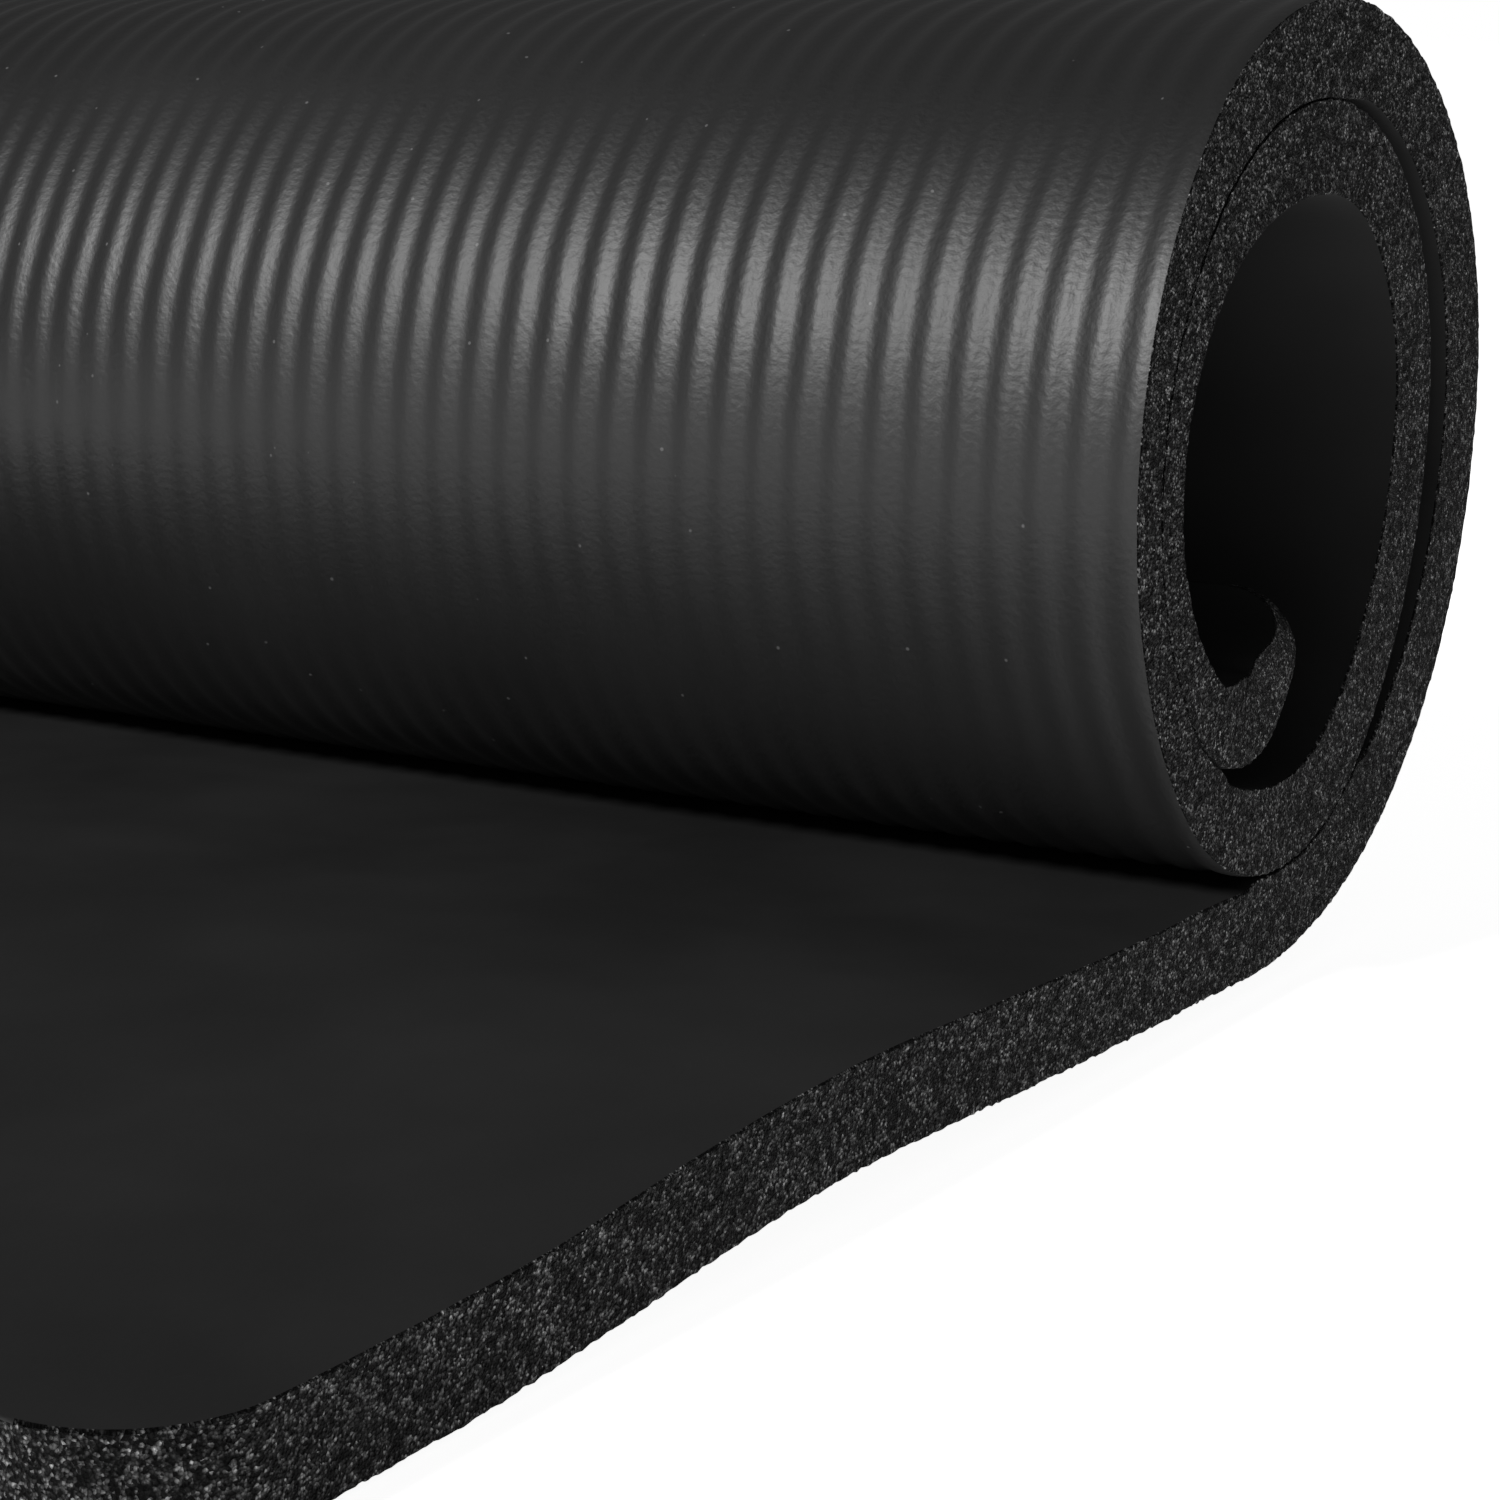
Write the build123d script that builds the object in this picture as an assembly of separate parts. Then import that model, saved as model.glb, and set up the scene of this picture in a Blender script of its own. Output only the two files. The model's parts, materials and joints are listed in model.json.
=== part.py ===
"""Closed-cell foam exercise mat, partly rolled up.

A flat stretch with a slight hump lies on the floor, and the rest is wound into two turns that end in a short
flap inside the core. The mat is one sheet of foam with a ribbed face, outside the roll and under the flat
stretch, and a smooth face. Here it is a chain of short stiff segments, each hinged to the next at half the
sheet's depth, so that the roll can open out flat. Behind each hinge line the two segments part in a V that
closes when the sheet is flat.

Frame: X runs along the roll, Y from the free front edge towards the roll, Z up. The origin is the middle of the
bottom of the box around the whole mat. Millimetres and degrees.
"""
import os
from math import atan2, cos, degrees, hypot, pi, radians, sin
from build123d import *

# Sheet
WIDTH = 610.0
THICKNESS = 12.7
CORNER_RADIUS = 16.0
LAYER_GAP = 0.5
HINGE_GAP = 0.3

# Flat stretch, from the free front edge to where the roll lifts off the floor
FLAT_LENGTH = 217.0
HUMP_HEIGHT = 4.5
HUMP_LENGTH = 165.0
FOOT_LENGTH = 17.0

# Roll: outermost wrap, on the ribbed face
LIFT_RUN = 80.0
BACK_HEIGHT = 78.0
ROLL_HEIGHT = 134.5
FRONT_OVERHANG = 34.0
FRONT_HEIGHT = 71.0
FRONT_SHARE = 0.5

# Roll: second wrap, inside the first
SECOND_BOTTOM_SHIFT = 11.0
SECOND_BOTTOM_SPACE = 2.5
SECOND_BACK_SPACE = 6.3
SECOND_BACK_HEIGHT = 78.0
SECOND_TOP_SHIFT = 2.0
SECOND_TOP_SPACE = 0.4

# Flap at the sheet's inner end
FLAP_SHIFT = 23.0
FLAP_LIFT = 3.6
FLAP_RUN = 18.5
FLAP_RISE = 24.0
FLAP_HEADING = 85.0

# Hinges of the roll: the first where the sheet has turned half a step, then one each step
TURN_STEP = 30.0
FLAP_LEAST_TURN = 25.0

FRONT_EDGE = -(FLAT_LENGTH + LIFT_RUN) / 2
LIFT_OFF = FRONT_EDGE + FLAT_LENGTH
HUMP_END = LIFT_OFF - FOOT_LENGTH
HUMP_START = HUMP_END - HUMP_LENGTH
BACK = LIFT_OFF + LIFT_RUN
FRONT = LIFT_OFF - FRONT_OVERHANG
TOP = (FRONT + BACK) / 2
LAYER = THICKNESS + LAYER_GAP
TURNS = 2 * 360.0


def roll_corners():
    """Where the ribbed face of the roll is level or upright, in order along the sheet. It turns a quarter between
    two of these points."""
    second_bottom = LAYER + SECOND_BOTTOM_SPACE
    flap_bottom = TOP - FLAP_SHIFT
    flap_height = second_bottom + LAYER + FLAP_LIFT
    return [
        (LIFT_OFF, 0.0),
        (BACK, BACK_HEIGHT),
        (TOP, ROLL_HEIGHT),
        (FRONT, FRONT_HEIGHT),
        (LIFT_OFF + SECOND_BOTTOM_SHIFT, second_bottom),
        (BACK - THICKNESS - SECOND_BACK_SPACE, SECOND_BACK_HEIGHT),
        (TOP - SECOND_TOP_SHIFT, ROLL_HEIGHT - LAYER - SECOND_TOP_SPACE),
        (FRONT + FRONT_SHARE * THICKNESS + LAYER_GAP, FRONT_HEIGHT),
        (flap_bottom, flap_height),
        (flap_bottom + FLAP_RUN, flap_height + FLAP_RISE),
    ]


def ribbed_point(heading):
    """The point where the ribbed face of the roll has turned to this heading. Each quarter is two tangent arcs
    that meet at its middle, with the radii that its run and rise need."""
    corners = roll_corners()
    index = min(int(heading // 90), len(corners) - 2)
    turned = radians(heading - 90 * index)
    start, end = corners[index], corners[index + 1]
    ahead = (round(cos(index * pi / 2)), round(sin(index * pi / 2)))
    aside = (-ahead[1], ahead[0])
    step = (end[0] - start[0], end[1] - start[1])
    run = step[0] * ahead[0] + step[1] * ahead[1]
    rise = step[0] * aside[0] + step[1] * aside[1]
    half_sin = sin(pi / 4)
    half_rest = 1 - half_sin
    scale = half_sin**2 - half_rest**2
    first = (run * half_sin - rise * half_rest) / scale
    second = (rise * half_sin - run * half_rest) / scale
    along, across = first * sin(turned), first * (1 - cos(turned))
    if turned > pi / 4:
        along = first * half_sin + second * (sin(turned) - half_sin)
        across = first * half_rest + second * (half_sin - cos(turned))
    return (
        start[0] + along * ahead[0] + across * aside[0],
        start[1] + along * ahead[1] + across * aside[1],
    )


def roll_depth(heading):
    """The depth of the sheet, which is squeezed where two wraps press together at the front of the roll."""
    facing_front = max(0.0, -sin(radians(heading)))
    return THICKNESS * (1 - (1 - FRONT_SHARE) * facing_front**2)


def roll_point(heading, share):
    """The point of the roll at this heading and this share of the sheet's depth, from the ribbed face."""
    y, z = ribbed_point(heading)
    depth = share * roll_depth(heading)
    turn = radians(heading)
    return (y - depth * sin(turn), z + depth * cos(turn))


def flat_point(y, depth):
    """The point of the flat stretch at y, this deep above its ribbed face."""
    share = (y - HUMP_START) / HUMP_LENGTH
    lift = HUMP_HEIGHT * sin(pi * share) ** 2 if 0 < share < 1 else 0.0
    return (y, lift + depth)


def hinge_cut(ribbed_point, smooth_point, turn):
    """The gap between two segments: a thin slot right through the sheet, and a V from half its depth to the
    ribbed face that closes as the sheet turns by this angle. A negative turn opens towards the smooth face."""
    low, high = (ribbed_point, smooth_point) if turn > 0 else (smooth_point, ribbed_point)
    middle = ((low[0] + high[0]) / 2, (low[1] + high[1]) / 2)
    depth = hypot(high[0] - low[0], high[1] - low[1])
    down = ((low[0] - high[0]) / depth, (low[1] - high[1]) / depth)
    across = (-down[1], down[0])
    reach = depth / 2 + LAYER_GAP / 2
    half = HINGE_GAP / 2
    spread = half + reach * sin(radians(abs(turn) / 2)) / cos(radians(abs(turn) / 2))

    def place(side, drop):
        return (
            middle[0] + across[0] * side + down[0] * drop,
            middle[1] + across[1] * side + down[1] * drop,
        )

    outline = [(-half, -reach), (half, -reach), (half, 0), (spread, reach), (-spread, reach), (-half, 0)]
    return Face(Wire.make_polygon([Vector(*place(side, drop), 0) for side, drop in outline]))


def arc(first, last, share):
    """The face of the roll at this share of the depth, between two headings that lie in one arc."""
    headings = (first, (first + last) / 2, last)
    return Edge.make_three_point_arc(*[Vector(*roll_point(heading, share), 0) for heading in headings])


def straight(start, end):
    return Edge.make_line(Vector(*start, 0), Vector(*end, 0))


def path_edges(points):
    return [straight(start, end) for start, end in zip(points, points[1:])]


def segment(edges, cuts):
    """One segment of the sheet from its outline and the hinge gaps at its ends."""
    outline = Face(Wire(edges))
    for cut in cuts:
        outline = outline - cut
    return extrude(Plane.YZ * outline, amount=WIDTH / 2, both=True)


def flat_outline(places):
    """The outline of a segment of the flat stretch through these places along Y."""
    ribbed = [flat_point(y, 0) for y in places]
    smooth = [flat_point(y, THICKNESS) for y in reversed(places)]
    return path_edges(ribbed + smooth + ribbed[:1])


def roll_outline(first, last):
    """The outline of a segment of the roll between two headings."""
    middle = (first + last) / 2
    return [
        arc(first, middle, 0),
        arc(middle, last, 0),
        straight(roll_point(last, 0), roll_point(last, 1)),
        arc(last, middle, 1),
        arc(middle, first, 1),
        straight(roll_point(first, 1), roll_point(first, 0)),
    ]


def flat_hinges():
    """The hinges of the flat stretch, at the middles of the hump's four bends: places along Y, and turns."""
    places = [HUMP_START + HUMP_LENGTH * share / 8 for share in (1, 3, 5, 7)]
    rise = flat_point(places[1], 0)[1] - flat_point(places[0], 0)[1]
    turn = degrees(atan2(rise, places[1] - places[0]))
    return places, [turn, -turn, -turn, turn]


def roll_headings():
    """The headings of the roll's hinges, and last that of the flap's free end."""
    end = TURNS + FLAP_HEADING
    headings = [TURN_STEP / 2]
    while headings[-1] + TURN_STEP + FLAP_LEAST_TURN <= end:
        headings.append(headings[-1] + TURN_STEP)
    return headings + [end]


def foot_outline(start, lift):
    """The outline of the foot, from the hump's last hinge to the roll's first."""
    ends = (start, HUMP_END, LIFT_OFF)
    ribbed = path_edges([flat_point(y, 0) for y in ends])
    smooth = path_edges([flat_point(y, THICKNESS) for y in reversed(ends)])
    turn_up = [
        arc(0, lift, 0),
        straight(roll_point(lift, 0), roll_point(lift, 1)),
        arc(lift, 0, 1),
    ]
    return ribbed + turn_up + smooth + [straight(flat_point(start, THICKNESS), flat_point(start, 0))]


def mat_segments():
    """Every segment by name, from the front edge to the flap."""
    places, turns = flat_hinges()
    headings = roll_headings()
    flat_cuts = [
        hinge_cut(flat_point(y, 0), flat_point(y, THICKNESS), turn) for y, turn in zip(places, turns)
    ]
    roll_cuts = [
        hinge_cut(roll_point(heading, 0), roll_point(heading, 1), TURN_STEP) for heading in headings[:-1]
    ]
    front = segment(flat_outline([FRONT_EDGE, HUMP_START, places[0]]), flat_cuts[:1])
    front_edges = front.edges().filter_by(Axis.Z).group_by(Axis.Y)[0]
    crown = HUMP_START + HUMP_LENGTH / 2
    parts = {
        "front_end": fillet(front_edges, CORNER_RADIUS),
        "hump_front": segment(flat_outline(places[0:2]), flat_cuts[0:2]),
        "hump_crown": segment(flat_outline([places[1], crown, places[2]]), flat_cuts[1:3]),
        "hump_back": segment(flat_outline(places[2:4]), flat_cuts[2:4]),
        "foot": segment(foot_outline(places[3], headings[0]), [flat_cuts[3], roll_cuts[0]]),
    }
    for number, (first, last) in enumerate(zip(headings, headings[1:]), start=1):
        parts[f"curl_{number:02d}"] = segment(roll_outline(first, last), roll_cuts[number - 1 : number + 1])
    return parts


os.makedirs("parts", exist_ok=True)
for name, solid in mat_segments().items():
    export_step(solid, f"parts/{name}.step")
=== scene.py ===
"""Looks of the exercise mat: one sheet of foam, ribbed on one face, smooth on the other, partly rolled up.

The sheet is described in its own coordinates: x along the roll, s along the sheet from the free front edge
to the flap inside the roll, and d through it, from the ribbed face to the smooth one. Metres and degrees.
"""
import json
import math

import bpy
import numpy as np
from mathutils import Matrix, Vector

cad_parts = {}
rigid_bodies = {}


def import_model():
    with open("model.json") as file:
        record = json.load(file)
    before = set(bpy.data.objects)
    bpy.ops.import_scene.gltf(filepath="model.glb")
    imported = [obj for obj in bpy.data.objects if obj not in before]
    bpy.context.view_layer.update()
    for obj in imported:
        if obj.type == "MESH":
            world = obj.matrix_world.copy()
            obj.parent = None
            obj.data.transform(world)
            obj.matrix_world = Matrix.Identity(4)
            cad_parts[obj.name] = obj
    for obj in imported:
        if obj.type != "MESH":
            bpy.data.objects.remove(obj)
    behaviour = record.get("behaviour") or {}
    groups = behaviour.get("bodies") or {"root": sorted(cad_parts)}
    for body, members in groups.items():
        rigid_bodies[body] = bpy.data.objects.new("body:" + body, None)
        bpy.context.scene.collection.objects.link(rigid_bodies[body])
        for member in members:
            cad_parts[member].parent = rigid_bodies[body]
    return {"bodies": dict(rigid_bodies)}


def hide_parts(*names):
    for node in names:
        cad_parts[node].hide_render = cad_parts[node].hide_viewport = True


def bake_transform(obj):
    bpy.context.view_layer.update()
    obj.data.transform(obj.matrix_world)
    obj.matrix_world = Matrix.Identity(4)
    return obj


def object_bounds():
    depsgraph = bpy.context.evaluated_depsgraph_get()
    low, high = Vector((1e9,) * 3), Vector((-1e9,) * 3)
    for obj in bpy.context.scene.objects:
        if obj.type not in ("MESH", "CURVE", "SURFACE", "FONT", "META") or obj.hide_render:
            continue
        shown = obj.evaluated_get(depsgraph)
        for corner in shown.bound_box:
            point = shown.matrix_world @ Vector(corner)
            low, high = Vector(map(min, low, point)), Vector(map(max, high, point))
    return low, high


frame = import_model()
cad_low, cad_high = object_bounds()

# The sheet and its path, as in the CAD model
THICKNESS = 0.0127
CORNER_RADIUS = 0.016
HUMP_HEIGHT = 0.0045
HUMP_LENGTH = 0.165
FOOT_LENGTH = 0.017
LIFT_RUN = 0.08
BACK_HEIGHT = 0.078
FRONT_OVERHANG = 0.034
FRONT_HEIGHT = 0.071
FRONT_SHARE = 0.5
SECOND_BOTTOM_SHIFT = 0.011
SECOND_BOTTOM_SPACE = 0.0025
SECOND_BACK_SPACE = 0.0063
SECOND_BACK_HEIGHT = 0.078
SECOND_TOP_SHIFT = 0.002
SECOND_TOP_SPACE = 0.0004
FLAP_LIFT = 0.0036
FLAP_SHIFT = 0.023
FLAP_RUN = 0.0185
FLAP_RISE = 0.024
FLAP_HEADING = 85.0
WHOLE_TURNS = 720
TURN_STEP = 30.0
LAYER_GAP = 0.0005

# Wraps that all but touch: the sheet swells until it meets the next wrap
TOUCH_GAP = 0.00002
TOUCH_FULL = 0.0011
TOUCH_NONE = 0.0017
BESIDE = 0.0006
MORE_THAN_HALF_TURN = 0.09
LEAST_SPACE = 0.6
INNER_WRAPS_FROM = 330
INNER_SAMPLES = 1500
DEPTH_SAMPLES = 4000

# The flap's thinned end, and its corners in plan
TAPER_LENGTH = 0.018
TAPER_END = 0.08
TAPER_POWER = 1.2
INNER_RADIUS = 0.011

# The slight rise of the flat stretch, to meet the roll
LIFT_HEIGHT = 0.0025
LIFT_LENGTH = 0.150
LIFT_BEFORE_ROLL = 0.0915

# From the frame
HALF_WIDTH = (cad_high.x - cad_low.x) / 2
FRONT_EDGE = cad_low.y
BACK = cad_high.y
ROLL_HEIGHT = cad_high.z
LIFT_OFF = BACK - LIFT_RUN
FRONT = LIFT_OFF - FRONT_OVERHANG
TOP = (FRONT + BACK) / 2
HUMP_START = LIFT_OFF - FOOT_LENGTH - HUMP_LENGTH
LAYER = THICKNESS + LAYER_GAP
LIFT_START = LIFT_OFF - FRONT_EDGE - LIFT_BEFORE_ROLL

# Ribs and the unevenness of the smooth face
RIB_PITCH = 0.0060
RIB_DEPTH = 0.00043
RIB_WANDER = 0.0007
RIB_LEAST_STRENGTH = 0.8
RIB_STRENGTH_RANGE = 0.4
BROAD_UNEVENNESS = 0.00035
CLOSE_UNEVENNESS = 0.00008

# Cut faces: open cells in clusters, ragged edges, and a narrow rounded rim
GRAIN_CELL = 0.0007
GRAIN_DEPTH = 0.00022
CLUSTER_CELLS = 3.1
CLUSTER_DEPTH = 0.6
FINE_LEVEL = 0.75
CLUSTER_LEVEL = 0.6
LEFT_SHIFT = 1.3
END_SHIFT = 2.9
RIM = 0.0003
RIM_DEPTH = 0.3
EDGE_JITTER = 0.00035
EDGE_CELL = 0.0009
EDGE_FADE_RATE = 10
LEAST_EDGE_RELIEF = 0.35
PAST_THE_END = 0.001

# Density of the meshes
RIB_SAMPLES = 8
SMOOTH_EVERY = 8
ROW_STEP = 0.003
ROW_STEP_OF_RADIUS = 0.06
FINE_STEP = 0.0005
LEVELS = 27
CORNER_ROWS = 12
BLEND_INSET = 0.0002

# Camera, from the corner of the mat on the right and the roll's top; lamp and floor
LENS = 83.2
CAMERA_ASIDE = 0.1912
CAMERA_AHEAD = 0.4429
CAMERA_HEIGHT = 0.1333
CAMERA_DOWN = 12.15
CAMERA_TURN = 32.8
KEY_PLACE = (-0.10, -1.20, 0.97)
KEY_AIM_HEIGHT = 0.06
KEY_SIZE = 0.34
KEY_POWER = 22.0
WORLD_LIGHT = 0.12
FLOOR_HALF = 12.0
FLOOR_DROP = 0.0005
FLOOR_GLOW = 0.9


def corner_points():
    """Where the ribbed face of the roll is level or upright: it turns a quarter from each to the next."""
    second_bottom = LAYER + SECOND_BOTTOM_SPACE
    flap_bottom = TOP - FLAP_SHIFT
    flap_height = second_bottom + LAYER + FLAP_LIFT
    return [
        (LIFT_OFF, 0.0),
        (BACK, BACK_HEIGHT),
        (TOP, ROLL_HEIGHT),
        (FRONT, FRONT_HEIGHT),
        (LIFT_OFF + SECOND_BOTTOM_SHIFT, second_bottom),
        (BACK - THICKNESS - SECOND_BACK_SPACE, SECOND_BACK_HEIGHT),
        (TOP - SECOND_TOP_SHIFT, ROLL_HEIGHT - LAYER - SECOND_TOP_SPACE),
        (FRONT + FRONT_SHARE * THICKNESS + LAYER_GAP, FRONT_HEIGHT),
        (flap_bottom, flap_height),
        (flap_bottom + FLAP_RUN, flap_height + FLAP_RISE),
    ]


def quarter_radii(step, heading):
    """The radii of the two arcs, an eighth of a turn each, that make this step from this heading."""
    half_sin = math.sin(math.pi / 4)
    half_rest = 1 - half_sin
    scale = half_sin**2 - half_rest**2
    ahead = np.array([math.cos(heading), math.sin(heading)])
    aside = np.array([-ahead[1], ahead[0]])
    run, rise = step @ ahead, step @ aside
    return (
        (run * half_sin - rise * half_rest) / scale,
        (rise * half_sin - run * half_rest) / scale,
    )


class Path:
    """The line that the ribbed face follows: the flat stretch with its hump, then the arcs of the roll."""

    def __init__(self):
        corners = corner_points()
        point = np.array(corners[0])
        start = LIFT_OFF - FRONT_EDGE
        rows = []
        end_heading = math.radians(WHOLE_TURNS + FLAP_HEADING)
        for index in range(len(corners) - 1):
            heading = index * math.pi / 2
            step = np.array(corners[index + 1]) - np.array(corners[index])
            for half, radius in enumerate(quarter_radii(step, heading)):
                first = heading + half * math.pi / 4
                turn = min(math.pi / 4, end_heading - first)
                rows.append((start, first, radius, point[0], point[1]))
                point = point + radius * np.array(
                    [math.sin(first + turn) - math.sin(first), math.cos(first) - math.cos(first + turn)]
                )
                start += radius * turn
        self.arcs = np.array(rows)
        self.length = start

    def at(self, s):
        """Points on the ribbed face and headings at these distances along the sheet."""
        s = np.asarray(s, float)
        index = np.clip(np.searchsorted(self.arcs[:, 0], s, side="right") - 1, 0, len(self.arcs) - 1)
        start, first, radius, y, z = np.moveaxis(self.arcs[index], -1, 0)
        heading = first + (s - start) / radius
        y = y + radius * (np.sin(heading) - np.sin(first))
        z = z + radius * (np.cos(first) - np.cos(heading))
        flat_y = FRONT_EDGE + s
        share = np.clip((flat_y - HUMP_START) / HUMP_LENGTH, 0, 1)
        slope = HUMP_HEIGHT * math.pi / HUMP_LENGTH * np.sin(2 * math.pi * share)
        flat = s < self.arcs[0, 0]
        y = np.where(flat, flat_y, y)
        z = np.where(flat, HUMP_HEIGHT * np.sin(math.pi * share) ** 2, z)
        return y, z, np.where(flat, np.arctan(slope), heading)

    def reach(self, degrees):
        """The distance along the sheet at which the roll has turned to this heading."""
        heading = math.radians(degrees)
        index = int(np.searchsorted(self.arcs[:, 1], heading, side="right")) - 1
        start, first, radius = self.arcs[index, :3]
        return start + radius * (heading - first)


PATH = Path()


def lift(s):
    """How far the sheet rises off its path, on both faces, to meet the bottom of the roll."""
    share = np.clip((s - LIFT_START) / LIFT_LENGTH, 0, 1)
    return LIFT_HEIGHT * np.sin(math.pi * share) ** 2


def space_inside(s, depth):
    """The distance from the ribbed face to the next wrap's ribbed face, or no limit where none is near."""
    y, z, heading = PATH.at(s)
    inner = np.linspace(PATH.reach(INNER_WRAPS_FROM), PATH.length, INNER_SAMPLES)
    inner_y, inner_z, _ = PATH.at(inner)
    space = np.full_like(depth, np.inf)
    for index in range(len(s)):
        normal = (-math.sin(heading[index]), math.cos(heading[index]))
        away_y, away_z = inner_y - y[index], inner_z - z[index]
        along = away_y * normal[0] + away_z * normal[1]
        beside = np.abs(away_y * normal[1] - away_z * normal[0])
        along -= lift(s[index])
        near = (along > LEAST_SPACE * depth[index]) & (along < 2 * THICKNESS) & (beside < BESIDE)
        near &= inner > s[index] + MORE_THAN_HALF_TURN
        if near.any():
            space[index] = along[near].min()
    return space


def squeezed_depth(s):
    """The depth of the sheet: squeezed at the front of the roll, swollen where it all but touches the next
    wrap, and tapered at the inner end."""
    _, _, heading = PATH.at(s)
    facing_front = np.clip(-np.sin(heading), 0, 1) * (s > PATH.reach(90))
    depth = THICKNESS * (1 - (1 - FRONT_SHARE) * facing_front**2)
    space = space_inside(s, depth)
    free = np.where(np.isfinite(space), space - depth, 1.0)
    touching = 1 - np.clip((free - TOUCH_FULL) / (TOUCH_NONE - TOUCH_FULL), 0, 1)
    limit = np.where(np.isfinite(space), space, depth)
    depth = depth + np.where(touching > 0, (limit - TOUCH_GAP - depth) * touching, 0)
    left = np.clip((PATH.length - s) / TAPER_LENGTH, 0, 1)
    return depth * (TAPER_END + (1 - TAPER_END) * np.sin(left * math.pi / 2) ** TAPER_POWER)


DEPTH_S = np.linspace(0, PATH.length, DEPTH_SAMPLES)
DEPTH = squeezed_depth(DEPTH_S)


def depth_at(s):
    """The depth of the sheet at these distances along it."""
    return np.interp(s, DEPTH_S, DEPTH)


def place(x, s, d):
    """Points of the sheet in space, from its own coordinates."""
    x, s, d = np.broadcast_arrays(x, s, d)
    y, z, heading = PATH.at(s)
    d = d + lift(s)
    return np.stack([x, y - d * np.sin(heading), z + d * np.cos(heading)], axis=-1)


class Grain:
    """Smooth random values on a lattice, the same at every run."""

    def __init__(self, seed, size=(2048, 64)):
        self.values = np.random.default_rng(seed).random(size)

    def at(self, u, v):
        """Values from 0 to 1 at lattice places u and v, which wrap round."""
        low_u, low_v = np.floor(u).astype(int), np.floor(v).astype(int)
        share_u, share_v = u - low_u, v - low_v
        share_u = share_u * share_u * (3 - 2 * share_u)
        share_v = share_v * share_v * (3 - 2 * share_v)
        rows, columns = self.values.shape

        def take(a, b):
            return self.values[a % rows, b % columns]

        low = take(low_u, low_v) * (1 - share_u) + take(low_u + 1, low_v) * share_u
        high = take(low_u, low_v + 1) * (1 - share_u) + take(low_u + 1, low_v + 1) * share_u
        return low * (1 - share_v) + high * share_v


CELLS = Grain(11)
CLUSTERS = Grain(12)
WAVES = Grain(13, (256, 256))


def cut_relief(u, v):
    """How far a cut face stands out, at u along its edge and v through the sheet: cells and small lumps."""
    fine = CELLS.at(u / GRAIN_CELL, v / GRAIN_CELL)
    coarse = CLUSTERS.at(u / (CLUSTER_CELLS * GRAIN_CELL), v / (CLUSTER_CELLS * GRAIN_CELL))
    return GRAIN_DEPTH * (fine - FINE_LEVEL) + CLUSTER_DEPTH * GRAIN_DEPTH * (coarse - CLUSTER_LEVEL)


def waves(x, s, across, along, start=(0, 0)):
    """Smooth values over the sheet, which change over these distances, from this place of the lattice."""
    return WAVES.at(s / along + start[1], x / across + start[0])


def rib_relief(x, s):
    """How deep the ribbed face lies under its crests: rounded ribs that wander and fade a little."""
    x = x + RIB_WANDER * (waves(x, s, across=0.017, along=0.013, start=(50, 20)) - 0.5)
    wave = 0.5 + 0.5 * np.cos(2 * math.pi * x / RIB_PITCH)
    strength = RIB_LEAST_STRENGTH + RIB_STRENGTH_RANGE * waves(x, s, across=0.11, along=0.06)
    return RIB_DEPTH * strength * wave


def skin_relief(x, s):
    """Slight unevenness of the smooth face."""
    broad = waves(x, s, across=0.034, along=0.021, start=(70, 40)) - 0.5
    close = waves(x, s, across=0.009, along=0.0075, start=(10, 90)) - 0.5
    return BROAD_UNEVENNESS * broad + CLOSE_UNEVENNESS * close


# The bodies of the chain, from the front edge to the flap
FLAT_BODIES = ["front_end", "hump_front", "hump_crown", "hump_back", "foot"]
ROLL_BODIES = sorted(name for name in frame["bodies"] if name.startswith("curl_"))
BODIES = FLAT_BODIES + ROLL_BODIES


def body_ends():
    """Where each body starts and ends along the sheet."""
    flat = [HUMP_START - FRONT_EDGE + HUMP_LENGTH * share / 8 for share in (1, 3, 5, 7)]
    roll = [PATH.reach(TURN_STEP / 2 + TURN_STEP * number) for number in range(len(ROLL_BODIES))]
    return [0.0] + flat + roll + [PATH.length]


ENDS = body_ends()
MIDDLES = [(a + b) / 2 for a, b in zip(ENDS, ENDS[1:])]


def row_step(s):
    """The distance between rows up to s: shorter where the roll is tight."""
    passed = PATH.arcs[PATH.arcs[:, 0] <= s + 1e-9]
    if len(passed) == 0:
        return ROW_STEP
    return min(ROW_STEP, ROW_STEP_OF_RADIUS * passed[-1, 2])


def row_places():
    """The rows of the skins along the sheet, with a row at every body's middle, where two pieces meet."""
    inner_start = PATH.length - INNER_RADIUS
    stops = sorted([CORNER_RADIUS, *MIDDLES[1:-1], inner_start])
    stops = [stop for stop in stops if CORNER_RADIUS <= stop <= inner_start]
    places = [stops[0]]
    for first, last in zip(stops, stops[1:]):
        count = max(1, math.ceil((last - first) / row_step(last)))
        places.extend(first + (last - first) * (n + 1) / count for n in range(count))
    return np.array(places)


def plan():
    """The outline of half the sheet in plan, row by row: how far round a corner, where the middle of the
    corner's arc is along the sheet, which end it is at, and its radius."""
    angles = np.radians(np.linspace(0, 90, CORNER_ROWS + 1))
    middle = row_places()
    count = len(middle)
    turn = np.concatenate([angles[:-1], np.full(count, math.pi / 2), angles[::-1][1:]])
    centre = np.concatenate([
        np.full(CORNER_ROWS, CORNER_RADIUS), middle, np.full(CORNER_ROWS, PATH.length - INNER_RADIUS)
    ])
    end = np.concatenate([np.full(CORNER_ROWS, -1.0), np.zeros(count), np.full(CORNER_ROWS, 1.0)])
    radius = np.where(end > 0, INNER_RADIUS, CORNER_RADIUS)
    return turn, centre, end, radius


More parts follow.
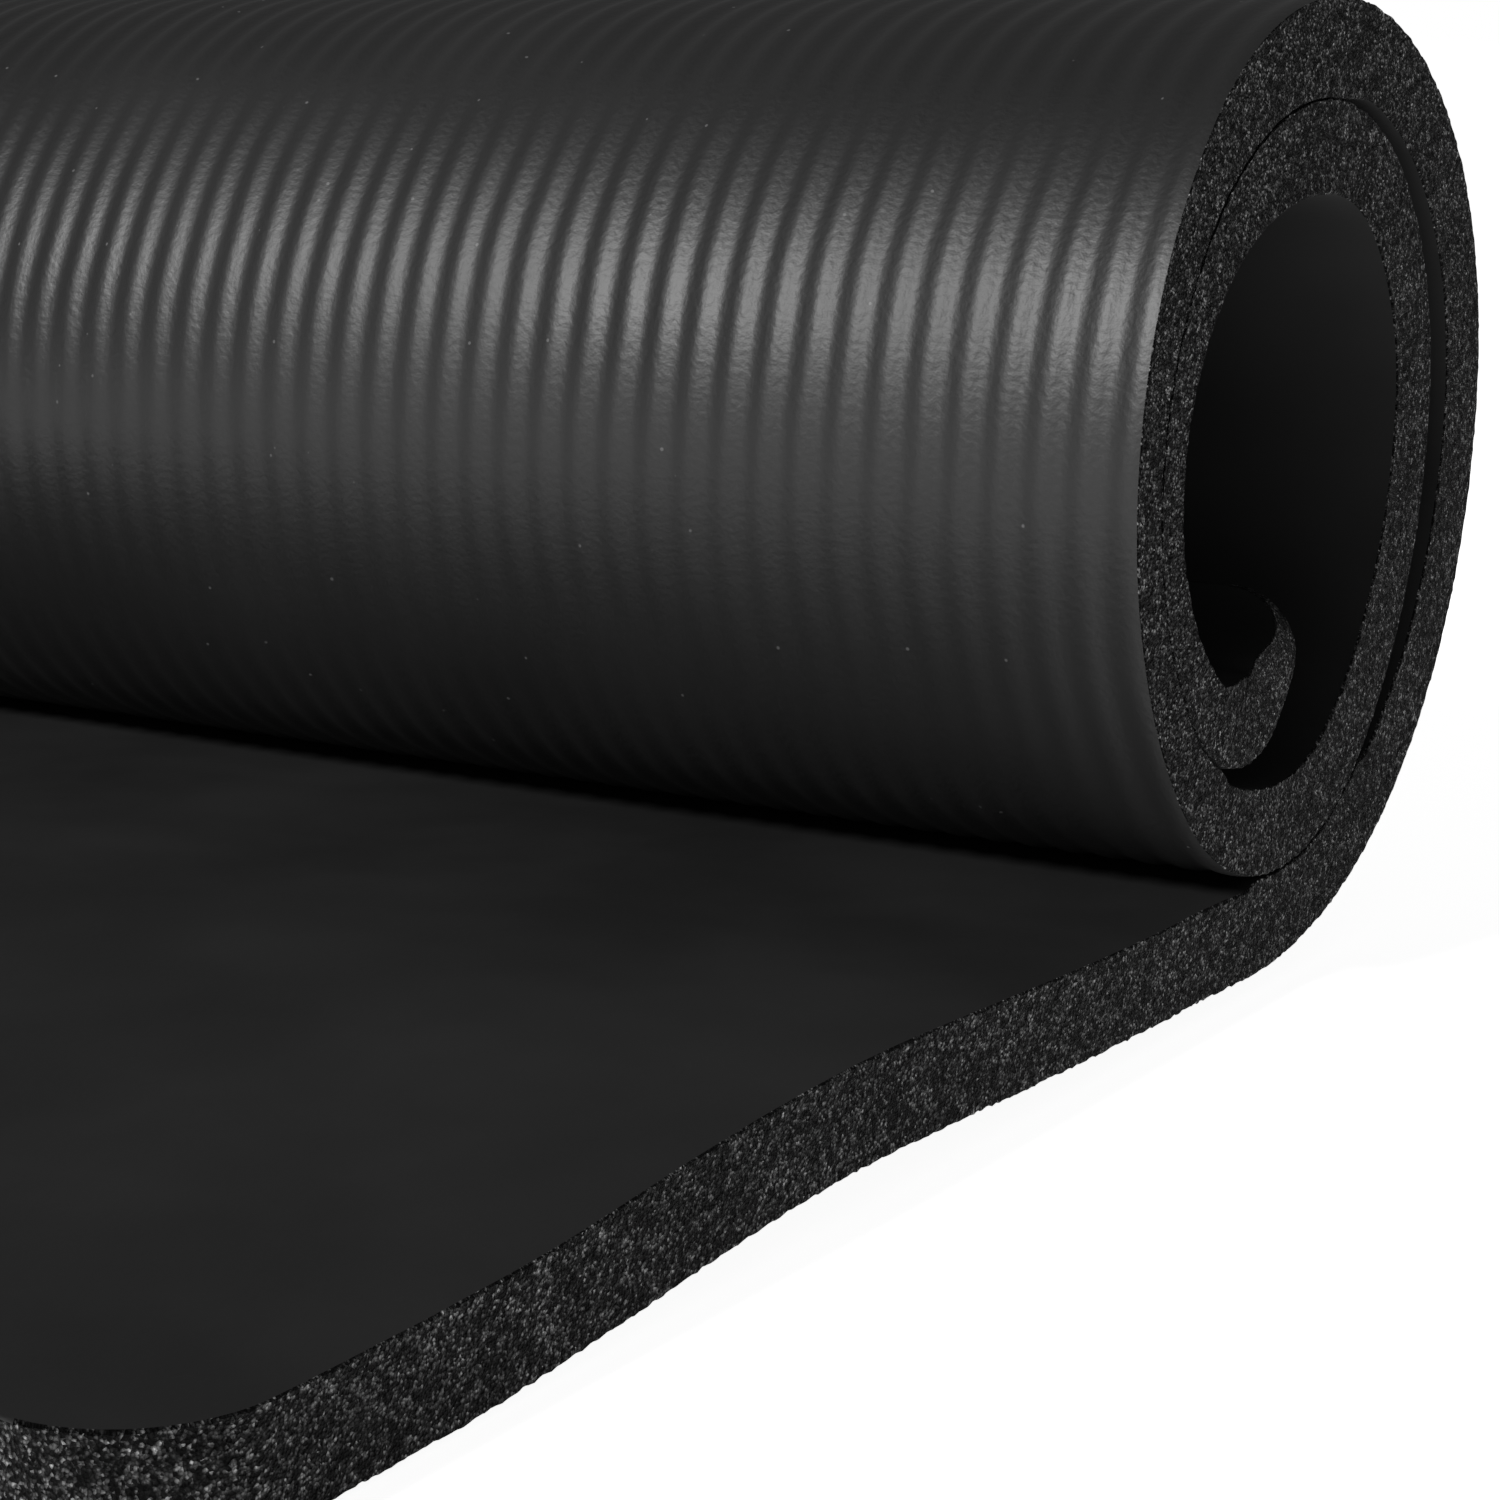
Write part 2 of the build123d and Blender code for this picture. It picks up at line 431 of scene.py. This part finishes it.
def outline(turn, centre, end, radius, inset):
    """Places x and s on a corner's arc, or on the straight side, this far inside the sheet's edge."""
    x = HALF_WIDTH - radius + (radius - inset) * np.sin(turn)
    s = centre + end * (radius - inset) * np.cos(turn)
    return x, s


TURN, CENTRE, END, RADIUS = plan()
EDGE_X, ROW_S = outline(TURN, CENTRE, END, RADIUS, RIM)
LAST_ROW = len(ROW_S) - 1


def fine_plan():
    """The cut face's outline, with several samples between two rows, and the sample at each row."""
    samples, starts = [], []
    for row in range(LAST_ROW):
        radius = INNER_RADIUS if END[row + 1] > 0 else CORNER_RADIUS
        side = END[row] if END[row] else END[row + 1]
        span = math.hypot(CENTRE[row + 1] - CENTRE[row], radius * (TURN[row + 1] - TURN[row]))
        count = max(2, round(span / FINE_STEP))
        starts.append(len(samples))
        for share in np.arange(count) / count:
            turn = TURN[row] + (TURN[row + 1] - TURN[row]) * share
            centre = CENTRE[row] + (CENTRE[row + 1] - CENTRE[row]) * share
            samples.append((turn, centre, side, radius))
    starts.append(len(samples))
    samples.append((TURN[-1], CENTRE[-1], END[-1], INNER_RADIUS))
    return np.array(samples).T, np.array(starts)


(FINE_TURN, FINE_CENTRE, FINE_END, FINE_RADIUS), FINE_START = fine_plan()


def columns():
    """Places across the sheet at its full width, several to a rib."""
    count = round(2 * HALF_WIDTH / RIB_PITCH * RIB_SAMPLES / SMOOTH_EVERY) * SMOOTH_EVERY
    return np.linspace(-1, 1, count + 1) * (HALF_WIDTH - RIM)


COLUMNS = columns()


def column_x(row):
    """The columns' x in one row: the outer ones close up where the corner narrows the sheet."""
    steady = HALF_WIDTH - 2 * CORNER_RADIUS
    spread = (EDGE_X[row] - steady) / (HALF_WIDTH - RIM - steady)
    beyond = np.maximum(np.abs(COLUMNS) - steady, 0)
    return np.sign(COLUMNS) * (np.minimum(np.abs(COLUMNS), steady) + beyond * spread)


def grid_normals(points, inward):
    """Normals of a grid of points, from its neighbours' differences."""
    across = np.gradient(points, axis=1)
    along = np.gradient(points, axis=0)
    normals = np.cross(across, along) * inward
    return normals / np.linalg.norm(normals, axis=-1, keepdims=True)


def make_skins():
    """Points and normals of both skins, rows along the sheet by columns across it."""
    x = np.array([column_x(row) for row in range(LAST_ROW + 1)])
    s = np.repeat(ROW_S[:, None], x.shape[1], axis=1)
    ribbed = place(x, s, rib_relief(x, s))
    few_x, few_s = x[:, ::SMOOTH_EVERY], s[:, ::SMOOTH_EVERY]
    smooth = place(few_x, few_s, depth_at(few_s) + skin_relief(few_x, few_s))
    sheet = {
        "ribbed": np.stack([x, s, np.zeros_like(x)], axis=-1),
        "smooth": np.stack([few_x, few_s, np.full_like(few_x, THICKNESS)], axis=-1),
    }
    return ribbed, grid_normals(ribbed, -1), smooth, grid_normals(smooth, 1), sheet


def make_walls():
    """The cut faces: right side with its corners, left side with its corners, front edge and inner end."""
    x, s = outline(FINE_TURN, FINE_CENTRE, FINE_END, FINE_RADIUS, 0.0)
    out_x, out_s = np.sin(FINE_TURN), FINE_END * np.cos(FINE_TURN)
    along = np.concatenate([[0], np.cumsum(np.hypot(np.diff(x), np.diff(s)))])
    walls = {
        "right": wall(x, s, out_x, out_s, along, 0.0),
        "left": wall(-x, s, -out_x, out_s, along, LEFT_SHIFT),
    }
    for name, row, side in (("front", 0, -1.0), ("inner", LAST_ROW, 1.0)):
        across = column_x(row)
        edge = np.full_like(across, 0.0 if side < 0 else PATH.length)
        out_x, out_s = np.zeros_like(across), np.full_like(across, side)
        walls[name] = wall(across, edge, out_x, out_s, across, END_SHIFT + side)
    return walls


def ragged(along, shift, line):
    """How far a cut face's edge steps in, along one line of the lattice."""
    return EDGE_JITTER * CELLS.at(along / EDGE_CELL + shift, np.full_like(along, line))


def wall(x, s, out_x, out_s, along, shift):
    """One cut face: samples along its edge by levels through the sheet."""
    share = np.linspace(0, 1, LEVELS)
    depth = depth_at(s)[:, None]
    inset = RIM * RIM_DEPTH
    d = inset + (depth - 2 * inset) * share[None, :]
    d[:, 0] += ragged(along, shift=300, line=7.0)
    d[:, -1] -= ragged(along, shift=700, line=9.0)
    fade = np.clip(np.minimum(share, 1 - share) * EDGE_FADE_RATE, LEAST_EDGE_RELIEF, 1)[None, :]
    relief = cut_relief(along[:, None] + shift, d) * fade
    points = place(
        x[:, None] + relief * out_x[:, None],
        np.clip(s[:, None] + relief * out_s[:, None], -PAST_THE_END, PATH.length + PAST_THE_END),
        d,
    )
    sheet = np.stack([
        np.broadcast_to(x[:, None], d.shape), np.broadcast_to(s[:, None], d.shape), d
    ], axis=-1)
    return points, sheet


RIBBED, RIBBED_NORMAL, SMOOTH, SMOOTH_NORMAL, SKIN_SHEET = make_skins()
WALLS = make_walls()
RIBBED_SLOT, SMOOTH_SLOT, CUT_SLOT = 0, 1, 2


def wall_normals(points, turn):
    """Normals of a cut face; turn is 1 or -1 and makes them point outwards."""
    along = np.gradient(points, axis=0)
    through = np.gradient(points, axis=1)
    normals = np.cross(along, through) * turn
    return normals / np.maximum(np.linalg.norm(normals, axis=-1, keepdims=True), 1e-12)


WALL_NORMALS = {
    "right": wall_normals(WALLS["right"][0], 1),
    "left": wall_normals(WALLS["left"][0], -1),
    "front": wall_normals(WALLS["front"][0], 1),
    "inner": wall_normals(WALLS["inner"][0], -1),
}


class Builder:
    """Collects the vertices and faces of one piece, with a normal for each corner of each face."""

    def __init__(self):
        self.points = []
        self.sheet = []
        self.faces = []
        self.normals = []
        self.slots = []
        self.count = 0

    def add(self, points, sheet):
        """Adds a block of vertices and returns their numbers in the block's shape."""
        shape = points.shape[:-1]
        size = int(np.prod(shape))
        self.points.append(points.reshape(-1, 3))
        self.sheet.append(sheet.reshape(-1, 3))
        numbers = np.arange(self.count, self.count + size).reshape(shape)
        self.count += size
        return numbers

    def quads(self, numbers, normals, slot, flip):
        """Faces over a block of vertices: first index along the sheet, second across it."""
        corners = [
            (slice(None, -1), slice(None, -1)),
            (slice(None, -1), slice(1, None)),
            (slice(1, None), slice(1, None)),
            (slice(1, None), slice(None, -1)),
        ]
        if flip:
            corners = corners[::-1]
        self.faces.extend(np.stack([numbers[c].ravel() for c in corners], axis=-1).tolist())
        self.normals.append(np.stack([normals[c].reshape(-1, 3) for c in corners], axis=1).reshape(-1, 3))
        self.slots.extend([slot] * numbers[corners[0]].size)

    def face(self, numbers, normals, slot, flip=False):
        """One face through these vertices, or its mirror image."""
        numbers, normals = list(numbers), np.asarray(normals).reshape(-1, 3)
        if flip:
            numbers, normals = numbers[::-1], normals[::-1]
        self.faces.append(numbers)
        self.normals.append(normals)
        self.slots.append(slot)

    def finish(self, name):
        """The piece itself, with the sheet's own coordinates kept for the materials."""
        mesh = bpy.data.meshes.new(name)
        mesh.from_pydata(np.concatenate(self.points), [], self.faces)
        mesh.polygons.foreach_set("material_index", self.slots)
        mesh.polygons.foreach_set("use_smooth", [True] * len(self.slots))
        attribute = mesh.attributes.new("sheet", "FLOAT_VECTOR", "POINT")
        attribute.data.foreach_set("vector", np.concatenate(self.sheet).astype(np.float32).ravel())
        mesh.update()
        mesh.normals_split_custom_set(np.concatenate(self.normals).tolist())
        piece = bpy.data.objects.new(name, mesh)
        bpy.context.scene.collection.objects.link(piece)
        return piece


def tilt(skin, cut):
    """Normals halfway between a skin's and a cut face's, for the rounded rim."""
    total = skin + cut
    return total / np.linalg.norm(total, axis=-1, keepdims=True)


def rims(build, rows, skin, skin_normals, walls, level, up):
    """The narrow strips between one skin and the cut sides."""
    first, last = rows
    for side, column, sign in (("right", -1, 1.0), ("left", 0, -1.0)):
        numbers, start = walls[side]
        out = np.array([sign, 0.0, 0.0])
        for row in range(first, last):
            a, b = FINE_START[row] - start, FINE_START[row + 1] - start
            inner = [skin[row - first, column], skin[row + 1 - first, column]]
            inner_normals = [skin_normals[row, column], skin_normals[row + 1, column]]
            edge = numbers[a : b + 1, level][::-1]
            corner = tilt(skin_normals[row, column], out)
            normals = np.vstack([inner_normals, np.repeat(corner[None], len(edge), axis=0)])
            build.face([*inner, *edge], normals, CUT_SLOT, flip=(up == (side == "right")))


def end_rims(build, skin, skin_normals, edge, level, every, out, slot, flip):
    """The strip between one skin and the cut face at the front edge or the inner end."""
    for column in range(skin.shape[0] - 1):
        samples = edge[column * every : (column + 1) * every + 1, level][::-1]
        corner = tilt(skin_normals[column], out)
        normals = np.vstack([
            [skin_normals[column], skin_normals[column + 1]], np.repeat(corner[None], len(samples), axis=0)
        ])
        build.face([skin[column], skin[column + 1], *samples], normals, slot, flip)


def cap(build, ribbed, smooth, right, left, direction, flip):
    """The hidden end of a piece, where it meets the next: strips through the sheet."""
    every = SMOOTH_EVERY
    for k in range(len(smooth) - 1):
        below = ribbed[every * k + 1 : every * (k + 1) + 1][::-1]
        loop = [ribbed[every * k], smooth[k], smooth[k + 1], *below]
        build.face(loop, np.repeat(direction[None], len(loop), axis=0), CUT_SLOT, flip)
    for loop in ([ribbed[-1], smooth[-1], *right[::-1]], [*left, smooth[0], ribbed[0]]):
        build.face(loop, np.repeat(direction[None], len(loop), axis=0), CUT_SLOT, flip)


def make_piece(name, first, last):
    """The stretch of the sheet between two rows, as one closed mesh."""
    build = Builder()
    rows = slice(first, last + 1)
    ribbed = build.add(RIBBED[rows], SKIN_SHEET["ribbed"][rows])
    smooth = build.add(SMOOTH[rows], SKIN_SHEET["smooth"][rows])
    build.quads(ribbed, RIBBED_NORMAL[rows], RIBBED_SLOT, True)
    build.quads(smooth, SMOOTH_NORMAL[rows], SMOOTH_SLOT, False)
    walls = {}
    start, stop = FINE_START[first], FINE_START[last] + 1
    for side in ("right", "left"):
        points, sheet = WALLS[side]
        numbers = build.add(points[start:stop], sheet[start:stop])
        walls[side] = (numbers, start)
        build.quads(numbers, WALL_NORMALS[side][start:stop], CUT_SLOT, side == "right")
    rims(build, (first, last), ribbed, RIBBED_NORMAL, walls, 0, False)
    rims(build, (first, last), smooth, SMOOTH_NORMAL, walls, LEVELS - 1, True)
    for index, row, facing in ((0, first, -1.0), (-1, last, 1.0)):
        right = walls["right"][0][index]
        left = walls["left"][0][index]
        close_end(build, ribbed[index], smooth[index], right, left, row, facing)
    return build.finish(name)


def close_end(build, ribbed, smooth, right, left, row, facing):
    """One end of a piece: a cut face at the sheet's front edge or inner end, and a hidden cap elsewhere."""
    _, _, heading = PATH.at(ROW_S[row])
    direction = facing * np.array([0.0, math.cos(heading), math.sin(heading)])
    if row not in (0, LAST_ROW):
        cap(build, ribbed, smooth, right, left, direction, facing < 0)
        return
    side = "front" if row == 0 else "inner"
    points, sheet = WALLS[side]
    between = build.add(points[1:-1], sheet[1:-1])
    edge = np.concatenate([left[None], between, right[None]])
    build.quads(edge, WALL_NORMALS[side], CUT_SLOT, facing < 0)
    end_rims(build, ribbed, RIBBED_NORMAL[row], edge, 0, 1, direction, RIBBED_SLOT, facing > 0)
    end_rims(
        build, smooth, SMOOTH_NORMAL[row], edge, LEVELS - 1, SMOOTH_EVERY, direction, SMOOTH_SLOT, facing < 0,
    )


def make_mat():
    """The pieces of the mat, from the front edge to the flap, each between the middles of two bodies."""
    stops = [0] + [int(np.argmin(np.abs(ROW_S - middle))) for middle in MIDDLES[1:-1]] + [LAST_ROW]
    pieces = []
    for number in range(len(BODIES) - 1):
        piece = make_piece(f"mat_{number + 1:02d}", stops[number], stops[number + 1])
        bend(piece, number)
        replaced = BODIES[number : number + 1]
        if number == len(BODIES) - 2:
            replaced = BODIES[number:]
        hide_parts(*replaced)
        pieces.append(piece)
    return pieces


def bend(piece, number):
    """Finds the points, just inside the middles of the two bodies, between which a piece lies, and bakes the
    piece's transform.
    """
    ends = np.array(MIDDLES[number : number + 2])
    points = place(np.zeros(2), ends, depth_at(ends) / 2)
    _, _, headings = PATH.at(ends)
    chord = points[1] - points[0]
    chord /= np.linalg.norm(chord)
    lean = math.atan2(chord[2], chord[1])
    for index, sign in ((0, 1), (1, -1)):
        slant = abs(math.sin(headings[index] - lean))
        points[index] += sign * chord * (depth_at(ends[index]) / 2 * slant + BLEND_INSET)
    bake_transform(piece)


def link(tree, socket, target):
    """A link from one node's output to another's input."""
    tree.links.new(socket, target)


def node(tree, kind, **inputs):
    """A shader node with these inputs set to values or linked to sockets."""
    made = tree.nodes.new(kind)
    for name, value in inputs.items():
        socket = made.inputs[name.replace("_", " ")]
        if isinstance(value, bpy.types.NodeSocket):
            tree.links.new(value, socket)
        else:
            socket.default_value = value
    return made


def ramp(tree, value, *stops):
    """A colour ramp through grey levels at these places."""
    made = node(tree, "ShaderNodeValToRGB", Fac=value)
    elements = made.color_ramp.elements
    while len(elements) < len(stops):
        elements.new(1.0)
    for element, (position, level) in zip(elements, stops):
        element.position = position
        element.color = grey(level)
    return made.outputs["Color"]


def noise(tree, where, scale, detail=2.0, roughness=0.5):
    """Smooth noise with this many features to the metre."""
    made = node(tree, "ShaderNodeTexNoise", Vector=where, Scale=scale, Detail=detail, Roughness=roughness)
    return made.outputs["Fac"]


def cells(tree, where, scale):
    """Random cells, this many to the metre: the distance from each middle, and a value for each cell."""
    made = node(tree, "ShaderNodeTexVoronoi", Vector=where, Scale=scale)
    return made.outputs["Distance"], made.outputs["Color"]


def blended(tree, share, a, b):
    """A colour that goes from a to b with the share."""
    made = tree.nodes.new("ShaderNodeMix")
    made.data_type = "RGBA"
    for socket, value in ((made.inputs[0], share), (made.inputs[6], a), (made.inputs[7], b)):
        if isinstance(value, bpy.types.NodeSocket):
            tree.links.new(value, socket)
        else:
            socket.default_value = value
    return made.outputs[2]


def multiplied(tree, a, b):
    """The product of two colours."""
    made = tree.nodes.new("ShaderNodeVectorMath")
    made.operation = "MULTIPLY"
    link(tree, a, made.inputs[0])
    link(tree, b, made.inputs[1])
    return made.outputs["Vector"]


def bump(tree, height, distance):
    """A normal that is tilted by this height map, which rises this far."""
    made = node(tree, "ShaderNodeBump", Height=height, Distance=distance, Strength=1.0)
    return made.outputs["Normal"]


def grey(level):
    """An opaque grey."""
    return (level, level, level, 1)


def start_material(name):
    """A material with its node tree, its shader, and the place on the sheet to read patterns at."""
    material = bpy.data.materials.new(name)
    material.use_nodes = True
    tree = material.node_tree
    where = node(tree, "ShaderNodeAttribute")
    where.attribute_name = "sheet"
    return material, tree, tree.nodes["Principled BSDF"], where.outputs["Vector"]


def ribbed_material():
    """The ribbed skin: black, with a soft sheen, fine grain and a few pale specks of dust."""
    material, tree, shader, where = start_material("ribbed_skin")
    broad = noise(tree, where, scale=14.0, detail=3.0)
    fine = noise(tree, where, scale=900.0)
    colour = ramp(tree, broad, (0.3, 0.010), (0.7, 0.015))
    distance, _ = cells(tree, where, scale=170.0)
    dust = ramp(tree, distance, (0.0, 1.0), (0.035, 1.0), (0.05, 0.0))
    colour = blended(tree, dust, colour, grey(0.09))
    link(tree, colour, shader.inputs["Base Color"])
    link(tree, ramp(tree, broad, (0.3, 0.42), (0.7, 0.50)), shader.inputs["Roughness"])
    shader.inputs["Specular IOR Level"].default_value = 0.5
    link(tree, bump(tree, fine, distance=0.00008), shader.inputs["Normal"])
    return material


def smooth_material():
    """The smooth skin: darker and duller, faintly mottled."""
    material, tree, shader, where = start_material("smooth_skin")
    broad = noise(tree, where, scale=22.0, detail=4.0)
    fine = noise(tree, where, scale=700.0)
    link(tree, ramp(tree, broad, (0.3, 0.009), (0.7, 0.014)), shader.inputs["Base Color"])
    link(tree, ramp(tree, broad, (0.35, 0.62), (0.65, 0.74)), shader.inputs["Roughness"])
    shader.inputs["Specular IOR Level"].default_value = 0.35
    link(tree, bump(tree, fine, distance=0.00003), shader.inputs["Normal"])
    return material


def cut_material():
    """Cut foam: fine open cells, with painted shade darkening the hollows between bright cell walls."""
    material, tree, shader, where = start_material("cut_foam")
    distance, cell = cells(tree, where, scale=2700.0)
    clusters = noise(tree, where, scale=900.0, detail=3.0, roughness=0.7)
    broad = noise(tree, where, scale=60.0)
    walls = ramp(tree, cell, (0.2, 0.001), (0.45, 0.01), (0.7, 0.05), (0.95, 0.2))
    lumps = ramp(tree, clusters, (0.4, 0.1), (0.5, 0.8), (0.6, 1.9))
    # Painted shade: each cell darker towards its border, standing in for the shade in the foam's open
    # hollows.
    painted_pit_shade = ramp(tree, distance, (0.2, 1.3), (0.75, 0.4))
    wear = ramp(tree, broad, (0.3, 0.8), (0.7, 1.2))
    colour = multiplied(tree, multiplied(tree, walls, lumps), multiplied(tree, painted_pit_shade, wear))
    link(tree, colour, shader.inputs["Base Color"])
    shader.inputs["Roughness"].default_value = 0.8
    shader.inputs["Specular IOR Level"].default_value = 0.08
    link(tree, bump(tree, distance, distance=0.0003), shader.inputs["Normal"])
    return material


def make_camera():
    """The photo's view: low, from the mat's right, looking across the roll towards the far left."""
    data = bpy.data.cameras.new("camera")
    data.lens = LENS
    data.sensor_width = 36.0
    data.clip_start = 0.01
    camera = bpy.data.objects.new("camera", data)
    camera.location = (HALF_WIDTH + CAMERA_ASIDE, TOP - CAMERA_AHEAD, CAMERA_HEIGHT)
    camera.rotation_euler = (math.radians(90 - CAMERA_DOWN), 0, math.radians(CAMERA_TURN))
    bpy.context.scene.collection.objects.link(camera)
    bpy.context.scene.camera = camera


def soft_box(name, location, target, size, power):
    """A square lamp turned to its target."""
    data = bpy.data.lights.new(name, "AREA")
    data.shape = "SQUARE"
    data.size = size
    data.energy = power
    lamp = bpy.data.objects.new(name, data)
    lamp.location = location
    aim = Vector(target) - Vector(location)
    lamp.rotation_euler = aim.to_track_quat("-Z", "Y").to_euler()
    bpy.context.scene.collection.objects.link(lamp)


def make_light():
    """One soft box in front of the mat, and a white world that lights it weakly but shows as white."""
    world = bpy.data.worlds.new("studio")
    world.use_nodes = True
    tree = world.node_tree
    background = tree.nodes["Background"]
    background.inputs["Color"].default_value = (1, 1, 1, 1)
    seen = tree.nodes.new("ShaderNodeLightPath").outputs["Is Camera Ray"]
    strength = node(tree, "ShaderNodeMapRange", Value=seen, To_Min=WORLD_LIGHT, To_Max=1.0)
    link(tree, strength.outputs["Result"], background.inputs["Strength"])
    bpy.context.scene.world = world
    bpy.context.scene.view_settings.view_transform = "Standard"
    target = (HALF_WIDTH / 2, TOP, KEY_AIM_HEIGHT)
    soft_box("key", KEY_PLACE, target, KEY_SIZE, KEY_POWER)


def make_floor():
    """A plain white floor that glows a little, so that it shows as white paper with a faint shadow."""
    mesh = bpy.data.meshes.new("floor")
    size = FLOOR_HALF
    corners = [(-size, -size, 0), (size, -size, 0), (size, size, 0), (-size, size, 0)]
    mesh.from_pydata(corners, [], [(0, 1, 2, 3)])
    floor = bpy.data.objects.new("floor", mesh)
    floor.location.z = cad_low.z - FLOOR_DROP
    material = bpy.data.materials.new("paper")
    material.use_nodes = True
    shader = material.node_tree.nodes["Principled BSDF"]
    shader.inputs["Base Color"].default_value = grey(0.9)
    shader.inputs["Roughness"].default_value = 0.9
    shader.inputs["Emission Color"].default_value = grey(1.0)
    shader.inputs["Emission Strength"].default_value = FLOOR_GLOW
    mesh.materials.append(material)
    bpy.context.scene.collection.objects.link(floor)


make_camera()
make_floor()
make_light()
PIECES = make_mat()
SKINS = [ribbed_material(), smooth_material(), cut_material()]
for piece in PIECES:
    for material in SKINS:
        piece.data.materials.append(material)
